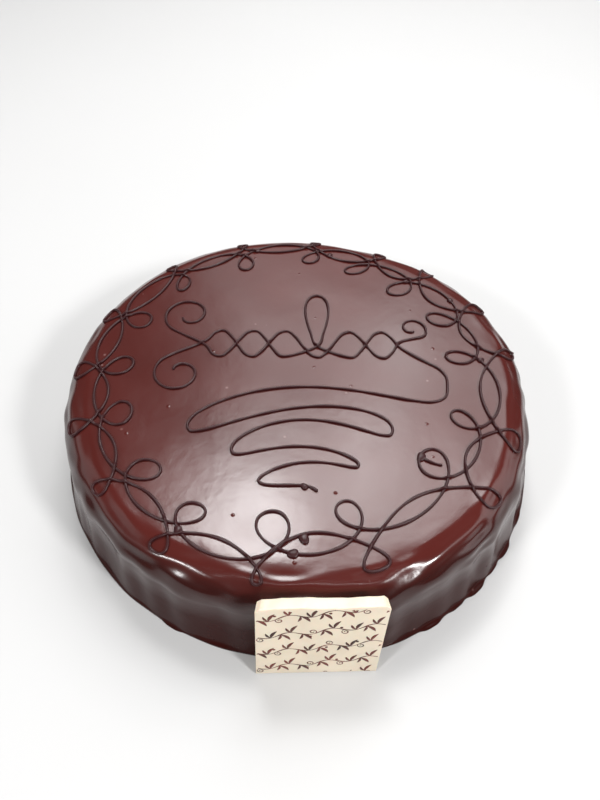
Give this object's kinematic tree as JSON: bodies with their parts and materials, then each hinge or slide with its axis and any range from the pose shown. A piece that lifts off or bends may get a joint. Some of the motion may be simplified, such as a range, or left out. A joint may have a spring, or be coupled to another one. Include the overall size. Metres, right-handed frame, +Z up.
{
  "type": "sachertorte cake",
  "caption": "Uncut round chocolate torte under dark glaze, with a looping piped border, a piped scroll on top and a small printed white chocolate slab leaning on its side.",
  "frame": {"origin": "middle of the torte's flat base, on the surface it stands on", "axes": "+Z up through the top, -Y towards the side that the slab leans on, +X to the right seen from there"},
  "size_m": [0.2348, 0.2424, 0.0485],
  "materials": {
    "chocolate_glaze": "satin gloss chocolate glaze, poured",
    "piped_chocolate": "satin piped dark chocolate",
    "white_chocolate": "smooth white chocolate with a brown printed pattern on its front"
  },
  "bodies": {
    "root": {"cake": "chocolate_glaze", "piped_border": "piped_chocolate", "piped_scroll": "piped_chocolate", "plaque": "white_chocolate"}
  },
  "joints": []
}
